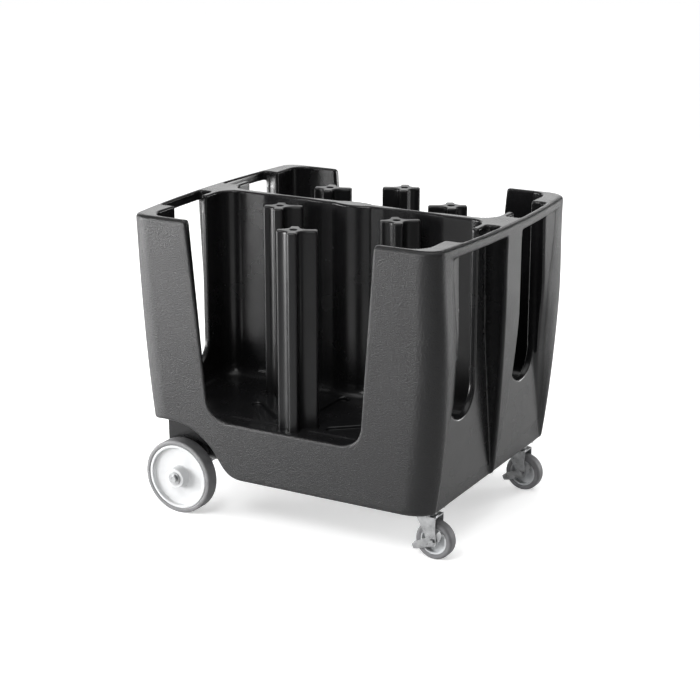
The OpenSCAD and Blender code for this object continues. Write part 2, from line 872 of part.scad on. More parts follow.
caster_bolt(-1);  // front_caster_bolt
caster_bolt(1);  // rear_caster_bolt
caster_nut(-1);  // front_caster_nut
caster_nut(1);  // rear_caster_nut
brake_pedal(-1);  // front_brake_pedal
brake_pedal(1);  // rear_brake_pedal
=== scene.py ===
"""Looks of the plate trolley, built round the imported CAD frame. Metres, in the CAD's frame.

The moulded body and the towers are meshed from distance fields: functions of a point that are
negative inside the plastic, so that every edge and inner corner gets its soft moulded rounding.
The large wheels are turned from profiles. The other parts keep their CAD shapes and get rounded
edges. The body is mirrored in x = 0 and y = 0, apart from the arches, the towers' sockets and the
fuller caster end.
"""
import json
import math

import bmesh
import bpy
import numpy as np
import openvdb
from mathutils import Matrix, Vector

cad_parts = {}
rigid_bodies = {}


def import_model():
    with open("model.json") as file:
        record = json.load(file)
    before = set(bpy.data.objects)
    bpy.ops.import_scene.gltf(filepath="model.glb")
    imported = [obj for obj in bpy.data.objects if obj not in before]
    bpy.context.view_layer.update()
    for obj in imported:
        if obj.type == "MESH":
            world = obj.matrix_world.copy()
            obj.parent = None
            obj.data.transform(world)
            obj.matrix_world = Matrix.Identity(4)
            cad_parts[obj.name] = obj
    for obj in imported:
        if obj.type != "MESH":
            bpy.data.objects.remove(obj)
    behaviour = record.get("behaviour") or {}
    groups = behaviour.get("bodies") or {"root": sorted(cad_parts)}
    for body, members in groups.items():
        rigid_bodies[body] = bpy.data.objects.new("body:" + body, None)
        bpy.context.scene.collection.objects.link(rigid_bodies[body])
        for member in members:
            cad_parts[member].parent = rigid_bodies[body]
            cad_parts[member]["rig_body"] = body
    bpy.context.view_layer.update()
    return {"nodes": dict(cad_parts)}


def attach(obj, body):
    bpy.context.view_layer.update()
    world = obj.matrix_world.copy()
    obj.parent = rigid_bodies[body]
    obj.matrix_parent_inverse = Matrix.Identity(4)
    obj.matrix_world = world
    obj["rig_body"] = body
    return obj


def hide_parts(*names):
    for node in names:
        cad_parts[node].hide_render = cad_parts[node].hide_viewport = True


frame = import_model()
nodes = frame["nodes"]

# Outside of the body, from the underside (BASE) to the rim. REACH is along x at the corners
UNDER_Z = 0.136
RIM_Z = 0.810
BASE_HALF_WIDTH = 0.3665
RIM_HALF_WIDTH = 0.387
BASE_REACH = 0.4025
RIM_REACH = 0.432
BASE_BOW = 0.003
RIM_BOW = 0.028
BASE_CORNER = 0.060
RIM_CORNER = 0.044
CORNER_STRETCH = 1.3
BELLY = 2.8
# The caster end is fuller than the wheel end, fading out towards the rail
FULLER = 0.008
FULLER_FULL_Z = 0.520
FULLER_NONE_Z = 0.780

# Plate wells, and the lobe and the plate hollows of the centre wall
WELL_HALF_LENGTH = 0.388
WELL_FLOOR = 0.290
WELL_BACK = 0.013
WELL_FRONT = 0.366
WELL_CORNER = 0.048
LOBE_HALF = 0.053
LOBE_RISE = 0.012
HOLLOW_X = 0.180
HOLLOW_HALF = 0.086
HOLLOW_DEPTH = 0.006
HOLLOW_LIMIT_Y = 0.100

# Loading openings
OPENING_LOW_X = 0.2237
OPENING_LOW_Z = 0.3392
OPENING_TOP_X = 0.266

# End walls, with the tapering strip in their middle and the grooves beside it
WALL_X = 0.406
STRIP_TIP_HALF = 0.003
STRIP_HALF = 0.044
STRIP_FOOT_Z = 0.145
STRIP_FULL_Z = 0.560
STRIP_CURVE = 1.4
GROOVE_FOOT_WIDTH = 0.005
GROOVE_FLARE = 0.036
GROOVE_FOOT_DEEP = 0.0005
GROOVE_DEEP = 0.015
GROOVE_CURVE = 2.3

# Posts. The flank runs from the arris at the skin back and inward to the nose, where the jamb is
ARRIS_FOOT_Y = 0.322
ARRIS_KNEE_Y = 0.310
ARRIS_TOP_Y = 0.322
KNEE_LOW_Z = 0.480
KNEE_TOP_Z = 0.600
JAMB_FOOT_Y = 0.319
JAMB_Y = 0.253
JAMB_FULL_Z = 0.400
NOSE_FOOT_Z = 0.240
NOSE_FULL_Z = 0.420
NOSE_BACK_LOW = 0.0175
NOSE_BACK_TOP = 0.0125
NOSE_LEAST = 0.001
FLANK_LEAST = 0.003

# Push rails, hand gaps and windows
RAIL_Z = 0.783
RAIL_WIDTH = 0.017
GAP_Y = 0.056
GAP_DEEPER = 0.010
WINDOW_Y = 0.180
WINDOW_Z = 0.345
WINDOW_R = 0.072
WINDOW_INWARD = 0.034
WINDOW_OUTWARD = 0.006

# Wheel end: arches, and the lugs that carry the axle
AXLE_X = -0.345
AXLE_Z = 0.100
AXLE_HOLE_R = 0.008
ARCH_R = 0.167
ARCH_Y = 0.290
LUG_R = 0.024
LUG_HALF = 0.013
LUG_FROM_ARCH = 0.015
LUG_INTO_BODY = 0.030

# Towers, as x and y of their axes and the direction of the long arm in degrees
TOWER_TOP = 0.800
TOWER_FOOT = 0.278
LONG_ARM = 0.060
SHORT_ARM = 0.042
ARM_HALF = 0.012
ARM_ROUND = 0.006
ARM_HOLLOW = 0.022
TOWER_HOLE_R = 0.009
TOWER_HOLE_DEEP = 0.060
SOCKET_GAP = 0.001
TOWERS = {
    "front_tower_middle": (-0.005, -0.298, 25),
    "front_tower_left": (-0.178, -0.078, 25),
    "front_tower_right": (0.167, -0.080, 35),
    "rear_tower_middle": (-0.002, 0.286, 205),
    "rear_tower_left": (-0.180, 0.187, 20),
    "rear_tower_right": (0.210, 0.142, 210),
}
# Free floor slots of a well, as x and y of both ends
SLOTS = [(-0.180, 0.200, -0.090, 0.275), (0.180, 0.200, 0.090, 0.275), (0.0, 0.060, 0.0, 0.190)]
SLOT_HALF = 0.015
SLOT_DEEP = 0.008

# Blends: how near two faces come before the edge or corner between them is rounded
EDGE_BLEND = 0.006
RIM_BLEND = 0.014
UNDERSIDE_BLEND = 0.010
ARCH_BLEND = 0.050
HOLLOW_BLEND = 0.002
LOBE_BLEND = 0.003
WELL_FLOOR_BLEND = 0.040
OPENING_CORNER_BLEND = 0.064
OPENING_EDGE_BLEND = 0.008
POST_BLEND = 0.010
GAP_LONG_BLEND = 0.010
GAP_END_BLEND = 0.012
GAP_EDGE_BLEND = 0.007
LUG_EDGE_BLEND = 0.004
LUG_ROOT_BLEND = 0.008
SLOT_BLEND = 0.004
TOWER_HOLE_BLEND = 0.003

# Meshing of the fields. Flat places of a tower get larger faces, by TOWER_ADAPTIVITY
BODY_LOW = (-0.462, -0.388, 0.074)
BODY_HIGH = (0.462, 0.388, 0.812)
BODY_VOXEL = 0.004
TOWER_VOXEL = 0.002
TOWER_ADAPTIVITY = 0.02
# Voxels beyond the box, and voxels on each side of the surface that keep their distances
MARGIN_VOXELS = 2
BAND_VOXELS = 3
# Planes of voxels that are worked out at a time
SLAB = 32
# How often the points are drawn onto the surface, and the step that measures a field's slope
PULLS = 2
PROBE = 0.0004
# These keep divisions away from zero
LEAST_STEEPNESS = 0.2
LEAST_LENGTH = 1e-6
LEAST_SLOPE = 1e-9

# The grain's mask falls from 1 on the skin to 0 this deep behind it
SKIN_FULL = 0.002
SKIN_NONE = 0.006

# Profiles of the large wheels: radius, distance from the trolley's middle, rounding
TYRE_PROFILE = [
    (0.0871, 0.302, 0.001), (0.0900, 0.300, 0.001),
    (0.100, 0.300, 0.006), (0.100, 0.340, 0.006),
    (0.0905, 0.340, 0.0015), (0.0871, 0.3375, 0.001),
]
HUB_PROFILE = [
    # inner end of the bore, boss, dish and rim seat
    (0.0112, 0.2913, 0.001), (0.0265, 0.2913, 0.003), (0.0265, 0.3220, 0.003),
    (0.0780, 0.3225, 0.003), (0.0800, 0.3020, 0.001), (0.0869, 0.3020, 0.001),
    # outer rim, dish, boss and end of the bore
    (0.0869, 0.3395, 0.0015), (0.0800, 0.3395, 0.0015), (0.0790, 0.3300, 0.003),
    (0.0300, 0.3280, 0.004), (0.0265, 0.3520, 0.003), (0.0112, 0.3520, 0.001),
]
LATHE_STEPS = 96
LATHE_SHARP_DEGREES = 35
ARC_STEPS = 4
# One rounding takes at most this share of a side
MOST_CUT = 0.49

# Rounded edges of the parts that keep their CAD shapes
CAD_EDGE = 0.0004
CAD_EDGE_SEGMENTS = 2
CAD_EDGE_DEGREES = 30
CAD_WELD = 0.00001


# Distance fields

def smooth_max(a, b, blend):
    """The larger of two distances, with a soft edge where they meet."""
    near = np.maximum(blend - np.abs(a - b), 0) / blend
    return np.maximum(a, b) + near * near * (blend / 4)


def smooth_min(a, b, blend):
    """The smaller of two distances, with a soft inner corner where they meet."""
    return -smooth_max(-a, -b, blend)


def share(value, low, high):
    """Share of the way from low to high, held between 0 and 1."""
    return np.clip((value - low) / (high - low), 0, 1)


def eased(value, low, high):
    """The same share, with a soft start and a soft end."""
    t = share(value, low, high)
    return t * t * (3 - 2 * t)


def length(*parts):
    return np.sqrt(sum(p * p for p in parts))


def rise(z):
    """Height as a share of the way from the underside to the rim."""
    return (z - UNDER_Z) / (RIM_Z - UNDER_Z)


def between(base, rim, z):
    """A size of the body at height z, from its values at the underside and at the rim."""
    return base + (rim - base) * rise(z)


def half_width(z):
    return between(BASE_HALF_WIDTH, RIM_HALF_WIDTH, z)


def corner_reach(z):
    """Reach of the ends at their corners, which swells quickly above the underside."""
    up = 1 - (1 - np.minimum(rise(z), 1)) ** BELLY
    return BASE_REACH + (RIM_REACH - BASE_REACH) * up


def end_reach(y, z):
    """How far the skin of an end reaches at distance y from the middle."""
    bow = between(BASE_BOW, RIM_BOW, z)
    return corner_reach(z) + bow * (1 - (y / half_width(z)) ** 2)


def skin(x, y, z):
    """The outside of the body, with corners that are longer on the long sides."""
    r = between(BASE_CORNER, RIM_CORNER, z)
    long_r = r * CORNER_STRETCH
    over_x = x - end_reach(np.minimum(y, half_width(z) - r), z) + long_r
    over_y = y - half_width(z) + r
    u = np.maximum(over_x, 0) / long_r
    v = np.maximum(over_y, 0) / r
    away = np.maximum(length(u, v), LEAST_LENGTH)
    corner = (away - 1) * away / np.maximum(length(u / long_r, v / r), LEAST_LENGTH)
    flat = np.maximum(over_x - long_r, over_y - r)
    return np.where((over_x > 0) & (over_y > 0), corner, flat)


def box_plan(x, y, half_x, half_y, r):
    """A rounded rectangle about the origin."""
    over_x = np.abs(x) - half_x + r
    over_y = np.abs(y) - half_y + r
    outside = length(np.maximum(over_x, 0), np.maximum(over_y, 0))
    return outside + np.minimum(np.maximum(over_x, over_y), 0) - r


def arc_radius(half, height):
    """Radius of an arc that rises by height over a chord of twice half."""
    return (half ** 2 + height ** 2) / (2 * height)


def well_plan(x, y):
    """Plan of a plate well, with the lobe and the plate hollows on its back face."""
    middle = (WELL_BACK + WELL_FRONT) / 2
    half = (WELL_FRONT - WELL_BACK) / 2
    plan = box_plan(x, y - middle, WELL_HALF_LENGTH, half, WELL_CORNER)
    hollow_r = arc_radius(HOLLOW_HALF, HOLLOW_DEPTH)
    hollow = length(x - HOLLOW_X, y - WELL_BACK + HOLLOW_DEPTH - hollow_r) - hollow_r
    limits = np.maximum(np.abs(x - HOLLOW_X) - HOLLOW_HALF, y - HOLLOW_LIMIT_Y)
    plan = smooth_min(plan, np.maximum(hollow, limits), HOLLOW_BLEND)
    lobe_r = arc_radius(LOBE_HALF, LOBE_RISE)
    lobe = length(x, y - WELL_BACK - LOBE_RISE + lobe_r) - lobe_r
    return smooth_max(plan, -lobe, LOBE_BLEND)


def opening(x, y, z):
    """A loading opening, with leaning sides and large lower corners."""
    lean = (OPENING_TOP_X - OPENING_LOW_X) / (RIM_Z - OPENING_LOW_Z)
    side = (x - OPENING_LOW_X - (z - OPENING_LOW_Z) * lean) / math.hypot(1, lean)
    hole = smooth_max(side, WELL_FLOOR - z, OPENING_CORNER_BLEND)
    return np.maximum(hole, WELL_FRONT - WELL_CORNER - y)


def strip_edge(z):
    """Half the width of the centre strip, which ends in a tip at its foot."""
    up = 1 - (1 - share(z, STRIP_FOOT_Z, STRIP_FULL_Z)) ** STRIP_CURVE
    return STRIP_TIP_HALF + (STRIP_HALF - STRIP_TIP_HALF) * up


def wall_back(x, y, z):
    """Distance to the end wall, with the groove that falls away to the centre strip."""
    depth = GROOVE_FOOT_DEEP + GROOVE_DEEP * np.maximum(rise(z), 0)
    width = GROOVE_FOOT_WIDTH + GROOVE_FLARE * np.maximum(rise(z), 0)
    into = share(strip_edge(z) + width - y, 0, width)
    slope = GROOVE_CURVE * depth / width * into ** (GROOVE_CURVE - 1)
    return (WALL_X - depth * into ** GROOVE_CURVE - x) / np.sqrt(1 + slope * slope)


def post(x, y, z, fuller):
    """The inner side of a post: its jamb and its slanted flank."""
    knee = eased(z, KNEE_LOW_Z, KNEE_TOP_Z)
    arris = (ARRIS_FOOT_Y + (ARRIS_KNEE_Y - ARRIS_FOOT_Y) * share(z, STRIP_FOOT_Z, KNEE_LOW_Z)
             + (ARRIS_TOP_Y - ARRIS_KNEE_Y) * knee)
    jamb = JAMB_FOOT_Y + (JAMB_Y - JAMB_FOOT_Y) * share(z, STRIP_FOOT_Z, JAMB_FULL_Z)
    face = end_reach(arris, z) + fuller
    back_by = NOSE_BACK_LOW + (NOSE_BACK_TOP - NOSE_BACK_LOW) * knee
    nose = WALL_X + NOSE_LEAST
    nose = nose + np.maximum(face - back_by - nose, 0) * eased(z, NOSE_FOOT_Z, NOSE_FULL_Z)
    face = np.maximum(face, nose + FLANK_LEAST)
    slope = (arris - jamb) / (face - nose)
    flank = (jamb + slope * (x - nose) - y) / np.sqrt(1 + slope * slope)
    return smooth_max(jamb - y, flank, EDGE_BLEND)


def end_recess(x, y, z, fuller):
    """The space between the centre strip, the end wall and a post, under the rail."""
    recess = smooth_max(wall_back(x, y, z), strip_edge(z) - y, EDGE_BLEND)
    recess = smooth_max(recess, -post(x, y, z, fuller), POST_BLEND)
    return smooth_max(recess, z - RAIL_Z, EDGE_BLEND)


def hand_gap(x, y, z):
    """The slot between the end wall and the push rail, from the centre strip to a post."""
    inner_side = x - end_reach(y, RIM_Z) + RAIL_WIDTH
    across = smooth_max(WALL_X - x, inner_side, GAP_LONG_BLEND)
    ends = np.abs(y - (GAP_Y + JAMB_Y) / 2) - (JAMB_Y - GAP_Y) / 2
    return np.maximum(smooth_max(across, ends, GAP_END_BLEND), RAIL_Z - GAP_DEEPER - z)


def window(x, y, z):
    """A window in the end wall, half round at its foot."""
    hole = length(y - WINDOW_Y, np.minimum(z - WINDOW_Z - WINDOW_R, 0)) - WINDOW_R
    middle = WALL_X + (WINDOW_OUTWARD - WINDOW_INWARD) / 2
    return np.maximum(hole, np.abs(x - middle) - (WINDOW_OUTWARD + WINDOW_INWARD) / 2)


def tower_plan(x, y, grow):
    """Cross section of a dividing tower, with its long arm along X."""
    shift = (LONG_ARM - SHORT_ARM) / 2
    arms = np.minimum(box_plan(x - shift, y, SHORT_ARM + shift, ARM_HALF, ARM_ROUND),
                      box_plan(x, y, ARM_HALF, SHORT_ARM, ARM_ROUND))
    core = ARM_HALF + ARM_HOLLOW
    u = np.abs(x)
    v = np.abs(y)
    web = np.maximum(np.maximum(u, v) - core, ARM_HOLLOW - length(u - core, v - core))
    return np.minimum(arms, web) - grow


def socket_plan(x, y, axis_x, axis_y, degrees):
    """Plan of the socket of one tower."""
    cos = math.cos(math.radians(degrees))
    sin = math.sin(math.radians(degrees))
    dx = x - axis_x
    dy = y - axis_y
    return tower_plan(dx * cos + dy * sin, dy * cos - dx * sin, SOCKET_GAP)


def slot_plan(x, y, x1, y1, x2, y2):
    """Plan of a free floor slot between two points."""
    run_x = x2 - x1
    run_y = y2 - y1
    along = ((x - x1) * run_x + (y - y1) * run_y) / (run_x ** 2 + run_y ** 2)
    along = np.clip(along, 0, 1)
    return length(x - x1 - along * run_x, y - y1 - along * run_y) - SLOT_HALF


def axle_lugs(x, y, z):
    """Lugs under the body, in the middle and beside each arch."""
    barrel = length(x - AXLE_X, np.minimum(z - AXLE_Z, 0)) - LUG_R
    outer = np.abs(y - ARCH_Y + LUG_FROM_ARCH) - LUG_HALF
    lug = smooth_max(barrel, np.minimum(outer, y - LUG_HALF), LUG_EDGE_BLEND)
    return np.maximum(lug, z - UNDER_Z - LUG_INTO_BODY)


def body_field(x, y, z):
    side_x = np.abs(x)
    side_y = np.abs(y)
    fuller = np.where(x > 0, FULLER, 0) * (1 - eased(z, FULLER_FULL_Z, FULLER_NONE_Z))
    arch = np.maximum(length(x - AXLE_X, z - AXLE_Z) - ARCH_R, ARCH_Y - side_y)
    under = smooth_max(UNDER_Z - z, -arch, ARCH_BLEND)
    body = smooth_max(skin(side_x - fuller, side_y, z), z - RIM_Z, RIM_BLEND)
    body = smooth_max(body, under, UNDERSIDE_BLEND)
    well = smooth_max(well_plan(side_x, side_y), WELL_FLOOR - z, WELL_FLOOR_BLEND)
    body = smooth_max(body, -well, EDGE_BLEND)
    body = smooth_max(body, -opening(side_x, side_y, z), OPENING_EDGE_BLEND)
    body = smooth_max(body, -end_recess(side_x, side_y, z, fuller), EDGE_BLEND)
    body = smooth_max(body, -hand_gap(side_x, side_y, z), GAP_EDGE_BLEND)
    body = smooth_max(body, -window(side_x, side_y, z), EDGE_BLEND)
    body = smooth_min(body, axle_lugs(x, side_y, z), LUG_ROOT_BLEND)
    body = np.maximum(body, AXLE_HOLE_R - length(x - AXLE_X, z - AXLE_Z))
    slots = np.minimum.reduce([slot_plan(x, side_y, *ends) for ends in SLOTS])
    body = smooth_max(body, -np.maximum(slots, WELL_FLOOR - SLOT_DEEP - z), SLOT_BLEND)
    sockets = np.minimum.reduce([socket_plan(x, y, *place) for place in TOWERS.values()])
    return np.maximum(body, -np.maximum(sockets, TOWER_FOOT - z))


def tower_field(x, y, z):
    tower = smooth_max(tower_plan(x, y, 0), z - TOWER_TOP, EDGE_BLEND)
    hole = np.maximum(length(x, y) - TOWER_HOLE_R, TOWER_TOP - TOWER_HOLE_DEEP - z)
    tower = smooth_max(tower, -hole, TOWER_HOLE_BLEND)
    return np.maximum(tower, TOWER_FOOT - z)


# Meshes

def gradient(field, points):
    """Direction and steepness of a field at some points."""
    parts = []
    for axis in range(3):
        ahead = points.copy()
        behind = points.copy()
        ahead[:, axis] += PROBE
        behind[:, axis] -= PROBE
        parts.append(field(*ahead.T) - field(*behind.T))
    vector = np.stack(parts, axis=1) / (2 * PROBE)
    steepness = np.linalg.norm(vector, axis=1)
    return vector / np.maximum(steepness, LEAST_SLOPE)[:, None], steepness


def field_mesh(name, field, low, high, voxel, adaptivity=0.0):
    """Meshes the zero surface of a field, with its points and normals drawn exactly onto it."""
    axes = [np.arange(a - MARGIN_VOXELS * voxel, b + (MARGIN_VOXELS + 1) * voxel, voxel)
            for a, b in zip(low, high)]
    values = np.empty([len(a) for a in axes], np.float32)
    y = axes[1][None, :, None].astype(np.float32)
    z = axes[2][None, None, :].astype(np.float32)
    for start in range(0, len(axes[0]), SLAB):
        x = axes[0][start:start + SLAB, None, None].astype(np.float32)
        values[start:start + SLAB] = field(x, y, z)
    band = BAND_VOXELS * voxel
    grid = openvdb.FloatGrid(band)
    grid.copyFromArray(np.clip(values, -band, band).astype(np.float64), tolerance=0)
    points, triangles, quads = grid.convertToPolygons(isovalue=0, adaptivity=adaptivity)
    points = points.astype(np.float64) * voxel + np.array([a[0] for a in axes])
    for _ in range(PULLS):
        normals, steepness = gradient(field, points)
        value = field(points[:, 0], points[:, 1], points[:, 2])
        move = np.clip(value / np.maximum(steepness, LEAST_STEEPNESS), -voxel, voxel)
        points = points - normals * move[:, None]
    normals, _ = gradient(field, points)
    mesh = bpy.data.meshes.new(name)
    mesh.from_pydata(points.tolist(), [], [tuple(f) for f in triangles.tolist() + quads.tolist()])
    mesh.validate()
    mesh.update()
    shade_smooth(mesh)
    mesh.normals_split_custom_set_from_vertices(normals.tolist())
    return mesh


def shade_smooth(mesh):
    mesh.polygons.foreach_set("use_smooth", np.ones(len(mesh.polygons), bool))


def link(name, mesh):
    obj = bpy.data.objects.new(name, mesh)
    bpy.context.scene.collection.objects.link(obj)
    return obj


def rounded(corners):
    """Points of a closed profile from its corners, each rounded by an arc."""
    points = []
    for i, (radius, along, r) in enumerate(corners):
        here = Vector((radius, along))
        before = Vector(corners[i - 1][:2]) - here
        after = Vector(corners[(i + 1) % len(corners)][:2]) - here
        half = before.angle(after) / 2
        cut = min(r / math.tan(half), before.length * MOST_CUT, after.length * MOST_CUT)
        r = cut * math.tan(half)
        inward = (before.normalized() + after.normalized()).normalized()
        centre = here + inward * (r / math.sin(half))
        start = here + before.normalized() * cut - centre
        sweep = start.angle_signed(here + after.normalized() * cut - centre)
        for k in range(ARC_STEPS + 1):
            turn = -sweep * k / ARC_STEPS
            points.append((centre.x + start.x * math.cos(turn) - start.y * math.sin(turn),
                           centre.y + start.x * math.sin(turn) + start.y * math.cos(turn)))
    return points


def mark_sharp(mesh, degrees):
    """Keeps edges sharper than an angle crisp in the shading."""
    bm = bmesh.new()
    bm.from_mesh(mesh)
    for edge in bm.edges:
        if len(edge.link_faces) == 2:
            edge.smooth = edge.calc_face_angle(0) < math.radians(degrees)
    bm.to_mesh(mesh)
    bm.free()


def lathe(name, profile, side):
    """Turns a closed profile about the wheels' axle, on the front (-1) or the rear (1) side."""
    bm = bmesh.new()
    rings = []
    for k in range(LATHE_STEPS):
        angle = 2 * math.pi * k / LATHE_STEPS
        rings.append([bm.verts.new((AXLE_X + r * math.cos(angle), side * along,
                                    AXLE_Z + r * math.sin(angle))) for r, along in profile])
    for k, ring in enumerate(rings):
        following = rings[(k + 1) % LATHE_STEPS]
        for i in range(len(profile)):
            j = (i + 1) % len(profile)
            bm.faces.new((ring[i], ring[j], following[j], following[i]))
    bmesh.ops.recalc_face_normals(bm, faces=bm.faces)
    mesh = bpy.data.meshes.new(name)
    bm.to_mesh(mesh)
    bm.free()
    shade_smooth(mesh)
    mark_sharp(mesh, LATHE_SHARP_DEGREES)
    return link(name, mesh)


def round_edges(obj):
    """Rounds the edges of a CAD part as it is shown; its own mesh stays as it is."""
    weld = obj.modifiers.new("join", "WELD")
    weld.merge_threshold = CAD_WELD
    bevel = obj.modifiers.new("edges", "BEVEL")
    bevel.width = CAD_EDGE
    bevel.segments = CAD_EDGE_SEGMENTS
    bevel.limit_method = "ANGLE"
    bevel.angle_limit = math.radians(CAD_EDGE_DEGREES)
    bevel.harden_normals = True


# Materials. Each noise is given as its cells per metre, its octaves and, if not 0.5, its roughness

# The range that most of a noise's values lie in
NOISE_LOW = 0.3
NOISE_HIGH = 0.7

# Body: leathery grain, of which a little is left in the wells, and a roughness that varies
BODY_SPECULAR = 0.33
LEATHER = (260, 3, 0.6)
LEATHER_FINE = (600, 2)
LEATHER_FINE_SHARE = 0.6
LEATHER_STRENGTH = 1.0
LEATHER_DEPTH = 0.0016
LEATHER_IN_WELLS = 0.04
BODY_CLOUD = (14, 4)
WELL_ROUGHNESS = 0.25
SKIN_ROUGHNESS = 0.35
BODY_VARIES = 0.04

# Towers
TOWER_SPECULAR = 0.30
TOWER_GRAIN = (420, 3)
TOWER_GRAIN_STRENGTH = 0.18
TOWER_GRAIN_DEPTH = 0.0005
TOWER_FLOW = (22, 5)
TOWER_GLOSSY = 0.28
TOWER_DULL = 0.40

# Colours of the black plastic, where it is new and where its edges are worn
MOULDED = (0.008, 0.008, 0.0085)
BODY_WORN = (0.016, 0.016, 0.0165)
TOWER_WORN = (0.022, 0.022, 0.023)
# Pointiness where wear starts, and where it is full
WORN_FROM = 0.52
WORN_FULL = 0.62
SCUFFS = (90, 4)
SCUFF_LEAST = 0.3
SCUFF_MOST = 1.0

# The plainer materials, for the function plain
RUBBER = dict(grain=(700, 4), strength=0.25, depth=0.0004,
              cloud=(45, 5, 0.6), gloss=(120, 3), varies=0.06)
PLASTIC = dict(grain=(300, 3), strength=0.10, depth=0.0004,
               cloud=(30, 4), gloss=(60, 3), varies=0.05)
ZINC = dict(grain=(500, 4), strength=0.15, depth=0.0002,
            cloud=(60, 5, 0.65), gloss=(90, 4), varies=0.08, metallic=1.0)
STEEL = dict(ZINC, grain=(900, 4), strength=0.10)
BRASS = dict(ZINC, strength=0.12)


def new_material(name):
    material = bpy.data.materials.new(name)
    material.use_nodes = True
    tree = material.node_tree
    return material, tree, tree.nodes["Principled BSDF"]


def add(tree, kind, **inputs):
    """A node with some of its inputs set; an underscore stands for a space in their names."""
    node = tree.nodes.new(kind)
    for key, value in inputs.items():
        node.inputs[key.replace("_", " ")].default_value = value
    return node


def noise(tree, scale, detail, rough=0.5):
    place = tree.nodes.get("place") or tree.nodes.new("ShaderNodeTexCoord")
    place.name = "place"
    node = add(tree, "ShaderNodeTexNoise", Scale=scale, Detail=detail, Roughness=rough)
    tree.links.new(place.outputs["Object"], node.inputs["Vector"])
    return node.outputs["Fac"]


def spread(tree, source, low, high, from_low=NOISE_LOW, from_high=NOISE_HIGH):
    """Maps a value, by default a noise's usual range, onto low to high."""
    node = add(tree, "ShaderNodeMapRange",
               From_Min=from_low, From_Max=from_high, To_Min=low, To_Max=high)
    tree.links.new(source, node.inputs["Value"])
    return node.outputs["Result"]


def combine(tree, operation, a, b):
    """A sum or product of two values, each a node's output or a number."""
    node = tree.nodes.new("ShaderNodeMath")
    node.operation = operation
    for socket, value in zip(node.inputs, (a, b)):
        if isinstance(value, (int, float)):
            socket.default_value = value
        else:
            tree.links.new(value, socket)
    return node.outputs["Value"]


def tint(tree, source, dark, light):
    """A colour between dark and light by a value from 0 to 1."""
    node = tree.nodes.new("ShaderNodeMix")
    node.data_type = "RGBA"
    tree.links.new(source, node.inputs["Factor"])
    node.inputs["A"].default_value = (*dark, 1)
    node.inputs["B"].default_value = (*light, 1)
    return node.outputs["Result"]


def bump(tree, bsdf, height, strength, depth):
    node = add(tree, "ShaderNodeBump", Strength=strength, Distance=depth)
    tree.links.new(height, node.inputs["Height"])
    tree.links.new(node.outputs["Normal"], bsdf.inputs["Normal"])


def for_camera(tree, others, camera):
    """One value for the rays of the camera itself, and another for all other rays."""
    rays = tree.nodes.new("ShaderNodeLightPath")
    return spread(tree, rays.outputs["Is Camera Ray"], others, camera, 0, 1)


def worn_edges(tree):
    """1 on outer edges, where handling has polished or scuffed them."""
    shape = tree.nodes.new("ShaderNodeNewGeometry")
    scuffs = spread(tree, noise(tree, *SCUFFS), SCUFF_LEAST, SCUFF_MOST)
    edge = spread(tree, shape.outputs["Pointiness"], 0, 1, WORN_FROM, WORN_FULL)
    return combine(tree, "MULTIPLY", edge, scuffs)


def moulded_black():
    """Black polyethylene: leathery grain on the outside, smooth and glossier in the wells."""
    material, tree, bsdf = new_material("moulded_black")
    bsdf.inputs["Specular IOR Level"].default_value = BODY_SPECULAR
    attribute = tree.nodes.new("ShaderNodeAttribute")
    attribute.attribute_name = "outside"
    outside = attribute.outputs["Fac"]
    fine_grain = combine(tree, "MULTIPLY", noise(tree, *LEATHER_FINE), LEATHER_FINE_SHARE)
    grain = combine(tree, "ADD", noise(tree, *LEATHER), fine_grain)
    grain_share = spread(tree, outside, LEATHER_IN_WELLS, 1, 0, 1)
    height = combine(tree, "MULTIPLY", grain, grain_share)
    bump(tree, bsdf, height, LEATHER_STRENGTH, LEATHER_DEPTH)
    colour = tint(tree, worn_edges(tree), MOULDED, BODY_WORN)
    tree.links.new(colour, bsdf.inputs["Base Color"])
    roughness = combine(tree, "ADD", spread(tree, outside, WELL_ROUGHNESS, SKIN_ROUGHNESS, 0, 1),
                        spread(tree, noise(tree, *BODY_CLOUD), -BODY_VARIES, BODY_VARIES))
    tree.links.new(roughness, bsdf.inputs["Roughness"])
    return material


def tower_black():
    """The towers' smoother black, with the faint flow marks of moulding."""
    material, tree, bsdf = new_material("tower_black")
    bsdf.inputs["Specular IOR Level"].default_value = TOWER_SPECULAR
    bump(tree, bsdf, noise(tree, *TOWER_GRAIN), TOWER_GRAIN_STRENGTH, TOWER_GRAIN_DEPTH)
    colour = tint(tree, worn_edges(tree), MOULDED, TOWER_WORN)
    tree.links.new(colour, bsdf.inputs["Base Color"])
    roughness = spread(tree, noise(tree, *TOWER_FLOW), TOWER_GLOSSY, TOWER_DULL)
    tree.links.new(roughness, bsdf.inputs["Roughness"])
    return material


def plain(name, dark, light, roughness, grain, strength, depth, cloud, gloss, varies,
          metallic=0.0):
    """A surface with fine bumps (grain), a cloudy colour and a roughness that varies a little."""
    material, tree, bsdf = new_material(name)
    bsdf.inputs["Metallic"].default_value = metallic
    bump(tree, bsdf, noise(tree, *grain), strength, depth)
    clouds = spread(tree, noise(tree, *cloud), 0, 1)
    tree.links.new(tint(tree, clouds, dark, light), bsdf.inputs["Base Color"])
    sheen = spread(tree, noise(tree, *gloss), roughness - varies, roughness + varies)
    tree.links.new(sheen, bsdf.inputs["Roughness"])
    return material


